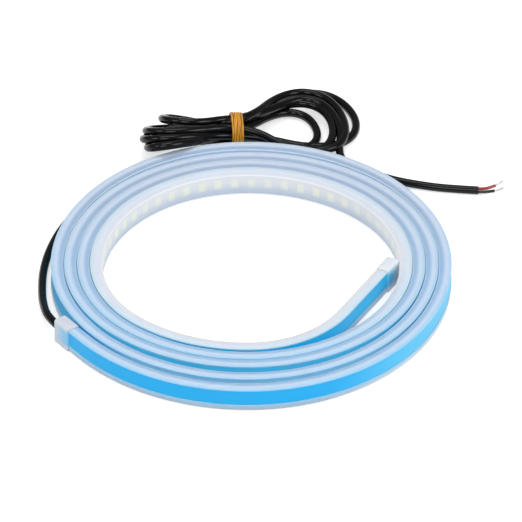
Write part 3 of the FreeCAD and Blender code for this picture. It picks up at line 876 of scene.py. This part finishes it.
def make_sleeve(material):
    """The channel, with soft lips round the liner and an inner wall that bulges a little."""
    top = STRIP_BASE + STRIP_HEIGHT
    roof = top - UPPER_LIP
    floor = STRIP_BASE + LOWER_LIP
    inside = STRIP_THICKNESS + SOFT_BULGE
    outline = rounded_outline((
        (0.0, STRIP_BASE, FOOT_ROUND),
        (0.0, floor, LIP_ROUND),
        (CHANNEL_DEPTH, floor, SEAT_ROUND),
        (CHANNEL_DEPTH, roof, SEAT_ROUND),
        (0.0, roof, LIP_ROUND),
        (0.0, top - LIP_DROP, LIP_ROUND),
        (CROWN_WIDTH, top, CROWN_ROUND),
        (inside, top - SHOULDER_DROP, SHOULDER_ROUND),
        (inside, STRIP_BASE + SHOULDER_DROP, HEEL_ROUND),
        (CROWN_WIDTH, STRIP_BASE, CROWN_ROUND),
    ))
    piece = swept_piece("silicone_channel", spiral_points(0, 0), outline, material)
    return keep(piece, "milky_silicone", "silicone_sleeve")


def make_cap(name, node, start, end, material):
    """A rounded cup over an end of the strip, from start to end along the travel."""
    inside = STRIP_THICKNESS + CAP_SKIN
    top = STRIP_BASE + STRIP_HEIGHT + CAP_SKIN
    outline = rounded_outline((
        (-CAP_SKIN, 0.0, CAP_BOTTOM_OUTER_ROUND),
        (-CAP_SKIN, top, CAP_TOP_OUTER_ROUND),
        (inside, top, CAP_TOP_INNER_ROUND),
        (inside, 0.0, CAP_BOTTOM_INNER_ROUND),
    ), CAP_CORNER_STEPS)
    path = [start.lerp(end, index / CAP_LENGTH_STEPS) for index in range(CAP_LENGTH_STEPS + 1)]
    piece = swept_piece(name, path, outline, material)
    rounding = piece.modifiers.new("moulded_edges", "BEVEL")
    rounding.width = CAP_EDGE_ROUND * MM
    rounding.segments = CAP_EDGE_SEGMENTS
    rounding.limit_method = "ANGLE"
    rounding.angle_limit = math.radians(CAP_EDGE_ANGLE)
    return keep(piece, "cap_silicone", node)


def make_caps(plain_look, cable_look):
    """The plain cap on the inner end and the cable's cap on the outer end."""
    start, travel, run = inner_run()
    closed = start - travel * run
    make_cap("plain_cap", "plain_end_cap", closed, closed + travel * (CAP_REACH + CAP_GRIP), plain_look)
    start, travel, run = outer_run()
    closed = start + travel * run
    make_cap("cable_cap", "cable_end_cap", closed - travel * (CAP_REACH + CAP_GRIP), closed, cable_look)


def make_liner(material):
    """The release film between the channel's lips."""
    low = STRIP_BASE + LOWER_LIP + LAYER_SIDE_GAP
    high = STRIP_BASE + STRIP_HEIGHT - UPPER_LIP - LAYER_SIDE_GAP
    far = LINER_DEPTH + LINER_THICKNESS
    outline = rounded_outline((
        (LINER_DEPTH, low, LINER_ROUND),
        (LINER_DEPTH, high, LINER_ROUND),
        (far, high, LINER_ROUND),
        (far, low, LINER_ROUND),
    ), LINER_CORNER_STEPS)
    piece = swept_piece("release_liner", spiral_points(TAPE_SETBACK, TAPE_SETBACK), outline, material)
    return keep(piece, "blue_liner", "tape_liner")


def block_mesh(name, size, window):
    """A small bevelled block; x is its thickness, with or without a sunk window in its far face."""
    length, height, thickness = (value * MM for value in size)
    shape = bmesh.new()
    bmesh.ops.create_cube(shape, size=1.0)
    for vertex in shape.verts:
        vertex.co.x = (vertex.co.x + 0.5) * thickness
        vertex.co.y *= height
        vertex.co.z *= length
    bmesh.ops.bevel(shape, geom=shape.edges[:], offset=BLOCK_BEVEL * thickness, segments=2,
                    affect="EDGES")
    if window:
        face = max(shape.faces, key=lambda item: item.calc_center_median().x * 10 + item.calc_area())
        bmesh.ops.inset_region(shape, faces=[face], thickness=WINDOW_FRAME * length)
        bmesh.ops.translate(shape, verts=face.verts[:], vec=(-WINDOW_SINK * thickness, 0, 0))
    mesh = bpy.data.meshes.new(name)
    shape.to_mesh(mesh)
    shape.free()
    return add_object(name, mesh)


def board_line(first, last):
    """A line on the board's inner face at the middle of the channel."""
    points = spiral_points(first, last)
    raised = []
    for index, point in enumerate(points):
        ahead = points[min(index + 1, len(points) - 1)]
        behind = points[max(index - 1, 0)]
        inwards = right_of((ahead - behind).normalized())
        raised.append(point + inwards * (CHIP_SEAT + CHIP_STAND) + UP * CHANNEL_MIDDLE)
    return raised


def path_length(points):
    """The length of a line through points."""
    return sum((second - first).length for first, second in zip(points, points[1:]))


def make_row(name, size, window, first, last, pitch, material):
    """Blocks on the board, as many as their pitch lets in."""
    line = board_line(first, last)
    path = poly_curve(name + "_line", line)
    model = block_mesh(name + "_model", size, window)
    count = int(path_length(line) // pitch) + 1
    piece = grow(name, ROW, {"Path": path, "Piece": model, "Count": count, "Material": material})
    remove_guides(path, model)
    return piece


def make_components(phosphor, resistor):
    """The chips, and one resistor for each few of them."""
    first = CAP_GRIP + CHIP_SIZE[0]
    chips = make_row("led_chip_row", CHIP_SIZE, True, first, CAP_GRIP, CHIP_PITCH, phosphor)
    keep(chips, "led_phosphor", "led_chips")
    offset = first + CHIP_PITCH / 2
    small = make_row("resistor_row", RESISTOR_SIZE, False, offset, CAP_GRIP,
                     CHIP_PITCH * CHIPS_PER_RESISTOR, resistor)
    keep(small, "resistor_body", "chip_resistors")


# The cable: its route, the folds of its hank and its cut end

CABLE_DIAMETER = 3.2
# In metres
# Steps of a cord's line between two of its points, and of its rounding
LINE_STEPS = 10
ROUND_STEPS = 7
# Middle of the tie, and the route before and after the hank
TIE = Vector((-5.7, 89.4, 6.8))
LEAD_IN = (
    (-71.39, -34.67, 6.05), (-76.31, -28.37, 6.05), (-78.59, -17.0, 4.0), (-79.24, -5.46, 2.8),
    (-78.89, 7.47, 1.9), (-76.59, 20.5, 1.7), (-72.02, 33.99, 1.7), (-64.81, 46.54, 1.7),
    (-55.56, 57.61, 1.7), (-45.21, 66.81, 1.7), (-33.97, 74.19, 2.0), (-23.04, 79.99, 3.0),
)
TAIL = (
    (4.0, 98.5, 8.0), (12.5, 106.5, 6.2), (21.0, 111.5, 5.2), (28.5, 107.5, 5.0), (33.0, 98.5, 5.0),
    (34.8, 90.0, 4.6), (33.6, 82.0, 3.0), (34.8, 75.6, 2.0), (40.0, 71.0, 1.7), (47.0, 67.6, 1.7),
    (54.5, 63.6, 1.7), (64.0, 60.6, 1.7), (75.0, 58.2, 1.7), (87.01, 57.15, 1.7),
)
# Where the cable leaves its cap
# Strands in the tie: a ring of slots, and one in the middle
RING_RADIUS = 4.2
SLOT_ANGLE = 45
MIDDLE_SLOT = 8
LAST_SLOT = 1
POINTS_PER_FOLD = 14
# Right folds: reach, half widths near and far, tilt, height, and the slots of both strands in the tie
RIGHT_FOLDS = (
    (31.5, 10.5, 13.5, 9.0, 2.0, 5, 8),
    (37.5, 16.5, 15.0, 10.0, 4.5, 3, 0),
    (42.5, 21.0, 17.5, 19.0, 4.4, 4, 2),
    (48.0, 16.5, 18.9, 20.0, 1.7, 6, 7),
)
# Where a right fold's row names those slots
FIRST_SLOT_AT = -2
LAST_SLOT_AT = -1
# Left folds: reach, half width, and how far the end swings from the tie along Y and Z
LEFT_FOLDS = (
    (35.0, 10.4, -2.4, 1.2),
    (36.0, 10.7, -8.1, 1.4),
    (34.3, 11.4, -13.6, 1.4),
    (28.9, 9.4, 5.0, 1.6),
)
# Direction across a left fold, and the share of a fold's reach over which it opens
FOLD_SLOPE = Vector((0, 0.839, -0.545))
TIE_EASE = 0.25


def slot_offset(number):
    """Where a strand passes through the tie: eight round a middle one."""
    if number == MIDDLE_SLOT:
        return Vector((0, 0, 0))
    angle = math.radians(SLOT_ANGLE * number)
    return Vector((0, RING_RADIUS * math.cos(angle), RING_RADIUS * math.sin(angle)))


def fold_angles():
    """Turns of a fold, from one strand in the tie to the other, without the first."""
    return [math.radians(-90 + 180 * (index + 1) / POINTS_PER_FOLD) for index in range(POINTS_PER_FOLD)]


def share_out(out):
    """How much of its own way a fold takes, at a share of its reach: little close to the tie."""
    return out * (1 - math.exp(-(out / TIE_EASE) ** 2))


def right_fold(reach, near_width, far_width, tilt, height, first_slot, last_slot):
    """A fold that lies flat to the right of the tie."""
    axis = flat(tilt)
    side = Vector((-axis.y, axis.x, 0))
    points = []
    for turn in fold_angles():
        out = math.cos(turn)
        share = share_out(out)
        width = far_width if turn > 0 else near_width
        ahead = Vector((axis.x * reach * out, axis.y * reach * out, height - TIE.z))
        across = side * (2 * width * math.sin(turn) * share)
        held = slot_offset(last_slot if turn > 0 else first_slot) + UP * (TIE.z - height)
        points.append(TIE + ahead + across + held * (1 - share) ** 2)
    return points


def left_fold(reach, half_width, shift_y, shift_z, first_slot, last_slot):
    """A fold to the left of the tie, seen edge on in the photograph."""
    points = []
    for turn in fold_angles():
        out = math.cos(turn)
        share = share_out(out)
        ahead = Vector((-reach * out, shift_y * share, shift_z * share))
        across = FOLD_SLOPE * (-2 * half_width * math.sin(turn) * share)
        held = slot_offset(last_slot if turn > 0 else first_slot)
        points.append(TIE + ahead + across + held * (1 - share) ** 2)
    return points


def cable_points():
    """The whole cable's control points, from the cap to its cut end."""
    points = [Vector(place) for place in LEAD_IN]
    first_slots = [fold[FIRST_SLOT_AT] for fold in RIGHT_FOLDS]
    points.append(TIE + slot_offset(first_slots[0]))
    following_slots = first_slots[1:] + [LAST_SLOT]
    for right, left, following in zip(RIGHT_FOLDS, LEFT_FOLDS, following_slots):
        points += right_fold(*right)
        points += left_fold(*left, right[LAST_SLOT_AT], following)
    return points + [Vector(place) for place in TAIL]


def nurbs_tube(name, points, diameter, material, line_steps=LINE_STEPS):
    """A round cord whose line is one NURBS spline with the given control points."""
    curve = bpy.data.curves.new(name, "CURVE")
    curve.dimensions = "3D"
    spline = curve.splines.new("NURBS")
    spline.points.add(len(points) - 1)
    for target, point in zip(spline.points, points):
        target.co = (point[0] * MM, point[1] * MM, point[2] * MM, 1)
    spline.order_u = 3
    spline.use_endpoint_u = True
    spline.resolution_u = line_steps
    curve.bevel_depth = diameter * MM / 2
    curve.bevel_resolution = ROUND_STEPS
    curve.use_fill_caps = True
    curve.materials.append(material)
    return add_object(name, curve)


CORE_DIAMETER = 1.2
RED_CORE = ((85.51, 57.91, 2.0), (88.6, 57.82, 1.9), (91.23, 58.5, 1.9), (93.42, 59.9, 1.9))
BLACK_CORE = ((85.47, 56.59, 1.4), (88.51, 56.35, 1.5), (90.99, 56.4, 1.7), (93.18, 56.7, 1.8))
STRAND_LENGTH = 3.4
STRAND_COUNT = 7
STRAND_CURL = 0.9
STRAND_RING = 0.27
STRAND_RADIUS = 0.13
STRAND_STEPS = 12
STRAND_ROUND_STEPS = 2
# Turns of the twist over the strands' length, and how much they spread by their tips
STRAND_TWIST = 0.55
STRAND_SPREAD = 0.25


def make_strands(name, node, core, material):
    """Twisted tinned wires that stand out of a core's cut end."""
    end = Vector(core[-1])
    axis = (end - Vector(core[-2])).normalized()
    across = axis.cross(UP).normalized()
    upward = across.cross(axis)
    curve = bpy.data.curves.new(name, "CURVE")
    curve.dimensions = "3D"
    for wire in range(STRAND_COUNT):
        spline = curve.splines.new("POLY")
        spline.points.add(STRAND_STEPS)
        radius = 0.0 if wire == 0 else STRAND_RING
        for index, target in enumerate(spline.points):
            along = STRAND_LENGTH * index / STRAND_STEPS
            angle = 2 * math.pi * (wire / (STRAND_COUNT - 1) + STRAND_TWIST * along / STRAND_LENGTH)
            spread = radius * (1 + STRAND_SPREAD * (along / STRAND_LENGTH) ** 2)
            curl = upward * (STRAND_CURL * (along / STRAND_LENGTH) ** 2)
            spoke = across * math.cos(angle) + upward * math.sin(angle)
            place = end + axis * along + curl + spoke * spread
            target.co = (*(place * MM), 1)
    curve.bevel_depth = STRAND_RADIUS * MM
    curve.bevel_resolution = STRAND_ROUND_STEPS
    curve.use_fill_caps = True
    curve.materials.append(material)
    return keep(add_object(name, curve), "tin", node)


TIE_TURNS = 6
TIE_PITCH = 0.74
TIE_RADIUS = 6.35
TIE_LEAN = 0.6
TIE_SLANT = 0.25
# How unevenly the band lies: by how much, and in how many waves over its length
TIE_SWELL = 0.06
TIE_WAVES = 3.1
BAND_DIAMETER = 0.8
STEPS_PER_TURN = 40
BAND_LINE_STEPS = 3


def make_tie(material):
    """An elastic band wound several times round the hank's waist."""
    points = []
    steps = STEPS_PER_TURN * TIE_TURNS
    for index in range(steps + 1):
        angle = 2 * math.pi * TIE_TURNS * index / steps
        slant = TIE_SLANT * math.sin(angle) - TIE_LEAN * math.cos(angle)
        along = TIE_PITCH * TIE_TURNS * (index / steps - 0.5) + slant
        radius = TIE_RADIUS + TIE_SWELL * math.sin(TIE_WAVES * angle / TIE_TURNS)
        points.append(TIE + Vector((along, radius * math.cos(angle), radius * math.sin(angle))))
    tube = nurbs_tube("wound_band", points, BAND_DIAMETER, material, BAND_LINE_STEPS)
    return keep(tube, "orange_band", "hank_tie")


def make_cable(sheath, band, red, black, tin):
    """The cable with its tie, its two cores and their bare tips."""
    cord = nurbs_tube("two_core_cable", cable_points(), CABLE_DIAMETER, sheath)
    keep(cord, "cable_sheath", "cable_lead_in", "cable_hank", "cable_tail")
    tie = make_tie(band)
    red_core = nurbs_tube("red_core", RED_CORE, CORE_DIAMETER, red)
    keep(red_core, "red_insulation", "red_core_end")
    black_core = nurbs_tube("black_core", BLACK_CORE, CORE_DIAMETER, black)
    keep(black_core, "black_insulation", "black_core_end")
    tips = [make_strands("twisted_red", "red_strands", RED_CORE, tin),
            make_strands("twisted_black", "black_strands", BLACK_CORE, tin)]


# Stage, in metres

FLOOR_HALF = 6.0
FLOOR_COLOUR = (0.85, 0.85, 0.85, 1)
FLOOR_ROUGH = 0.9
FLOOR_LIFT = 0.5
WORLD_STRENGTH = 0.3
# Lamps: name, place, size and power
LAMPS = (
    ("top_softbox", (0.0, 0.4, 1.5), 0.9, 7.5),
    ("front_softbox", (-0.2, -1.4, 1.35), 0.9, 9.5),
    ("left_softbox", (-1.2, -0.5, 1.2), 0.8, 6.5),
    ("right_softbox", (1.2, -0.6, 1.0), 0.8, 9.0),
)
LAMP_TARGET = (0, 0, 0)


def white_floor():
    """White floor: it takes soft shadow, and the camera sees it a little lifted."""
    mesh = bpy.data.meshes.new("floor")
    corners = [(x * FLOOR_HALF, y * FLOOR_HALF, 0) for x, y in ((-1, -1), (1, -1), (1, 1), (-1, 1))]
    mesh.from_pydata(corners, [], [(0, 1, 2, 3)])
    floor = add_object("floor", mesh)
    material, tree, shader = new_material("floor_white")
    shader.inputs["Base Color"].default_value = FLOOR_COLOUR
    shader.inputs["Roughness"].default_value = FLOOR_ROUGH
    rays = tree.nodes.new("ShaderNodeLightPath")
    seen = math_node(tree, "MAXIMUM", rays.outputs["Is Camera Ray"], rays.outputs["Is Glossy Ray"])
    seen = math_node(tree, "MAXIMUM", seen, rays.outputs["Is Transmission Ray"])
    lift = math_node(tree, "MULTIPLY", seen, FLOOR_LIFT)
    shader.inputs["Emission Color"].default_value = (1, 1, 1, 1)
    tree.links.new(lift, shader.inputs["Emission Strength"])
    mesh.materials.append(material)


def area_lamp(name, place, size, power):
    """A soft lamp that faces the part."""
    lamp = bpy.data.lights.new(name, "AREA")
    lamp.size = size
    lamp.energy = power
    holder = add_object(name, lamp)
    holder.location = place
    holder.rotation_euler = (Vector(LAMP_TARGET) - Vector(place)).to_track_quat("-Z", "Y").to_euler()


def white_world():
    """Even white light from all round."""
    world = bpy.data.worlds.new("white_room")
    bpy.context.scene.world = world
    world.use_nodes = True
    background = world.node_tree.nodes["Background"]
    background.inputs["Color"].default_value = (1, 1, 1, 1)
    background.inputs["Strength"].default_value = WORLD_STRENGTH


# Elevation in degrees, the rest in metres apart from the sensor's width
CAMERA_ELEVATION = 37.5
CAMERA_DISTANCE = 4.0
CAMERA_CLIP_END = 50
SENSOR_WIDTH = 36.0
VIEW_WIDTH = 0.19836
VIEW_TARGET = Vector((0.0037, 0.0149, 0.0))


def make_camera():
    """The photograph's view, from far away through a long lens."""
    camera = bpy.data.cameras.new("photo_camera")
    camera.sensor_width = SENSOR_WIDTH
    camera.lens = SENSOR_WIDTH * CAMERA_DISTANCE / VIEW_WIDTH
    camera.clip_end = CAMERA_CLIP_END
    holder = add_object("photo_camera", camera)
    rise = math.radians(CAMERA_ELEVATION)
    holder.location = VIEW_TARGET + Vector((0, -math.cos(rise), math.sin(rise))) * CAMERA_DISTANCE
    holder.rotation_euler = (math.radians(90) - rise, 0, 0)
    bpy.context.scene.camera = holder


silicone = silicone_material()
plain_cap_look = cap_material(*PLAIN_CAP_LOOK)
cable_cap_look = cap_material(*CABLE_CAP_LOOK)
liner = liner_material()
foam, board, resistor, red, black = [plain_material(*look) for look in PLAIN_LOOKS]
sheath = sheath_material()
band = band_material()
tin = tin_material()
phosphor = phosphor_material()

make_sleeve(silicone)
make_liner(liner)
make_components(phosphor, resistor)
set_look("adhesive_tape", foam)
set_look("circuit_board", board)
make_caps(plain_cap_look, cable_cap_look)
set_look("red_lead", red)
set_look("black_lead", black)
set_look("solder_joints", tin)
make_cable(sheath, band, red, black, tin)

white_floor()
white_world()
for lamp_row in LAMPS:
    area_lamp(*lamp_row)
make_camera()
bpy.context.scene.view_settings.view_transform = "Standard"
